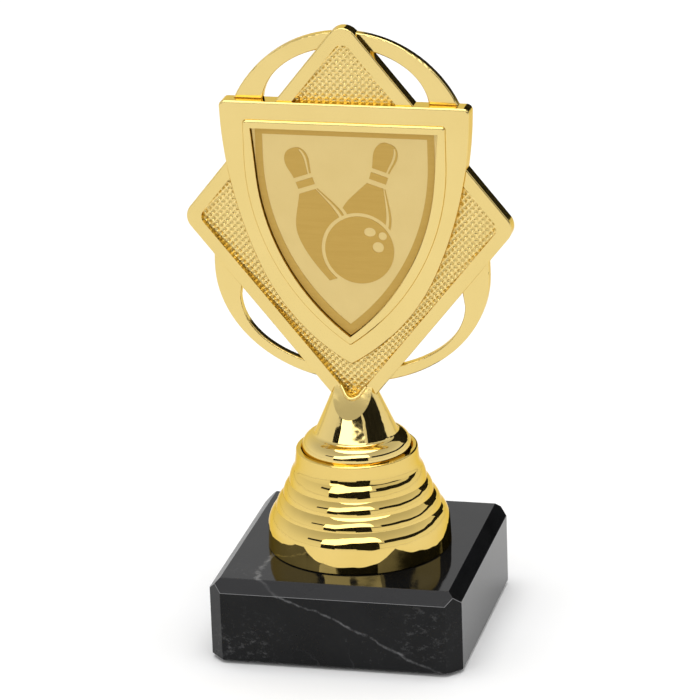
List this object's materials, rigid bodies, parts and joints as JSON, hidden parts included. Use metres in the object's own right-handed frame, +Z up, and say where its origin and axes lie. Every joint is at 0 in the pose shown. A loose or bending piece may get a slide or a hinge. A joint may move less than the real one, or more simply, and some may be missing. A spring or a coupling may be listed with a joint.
{
  "type": "bowling trophy",
  "caption": "Standing award with a square polished stone base, a ringed gold riser and a flat gold figure of ring, diamond and shield holding an insert with pins and a ball.",
  "frame": {"origin": "middle of the footprint on the plane the four felt pads stand on", "axes": "+Z up, -Y out of the front of the figure, +X to the right as seen from the front"},
  "size_m": [0.0896, 0.07, 0.171],
  "materials": {
    "marble": "polished",
    "felt": "matte",
    "gold_plating": "mirror-bright metallised gold",
    "insert_gold": "satin anodised gold",
    "print_gold": "darker satin gold",
    "adhesive": "foam",
    "zinc_steel": "bright zinc plated"
  },
  "bodies": {
    "root": {"marble_base": "marble", "felt_pad_front_left": "felt", "felt_pad_front_right": "felt", "felt_pad_back_left": "felt", "felt_pad_back_right": "felt", "riser": "gold_plating", "figure": "gold_plating", "insert_adhesive": "adhesive", "insert_plate": "insert_gold", "insert_print": "print_gold", "threaded_rod": "zinc_steel", "stem_nut": "zinc_steel", "base_nut": "zinc_steel", "flat_washer": "zinc_steel", "spring_washer": "zinc_steel"}
  },
  "joints": []
}
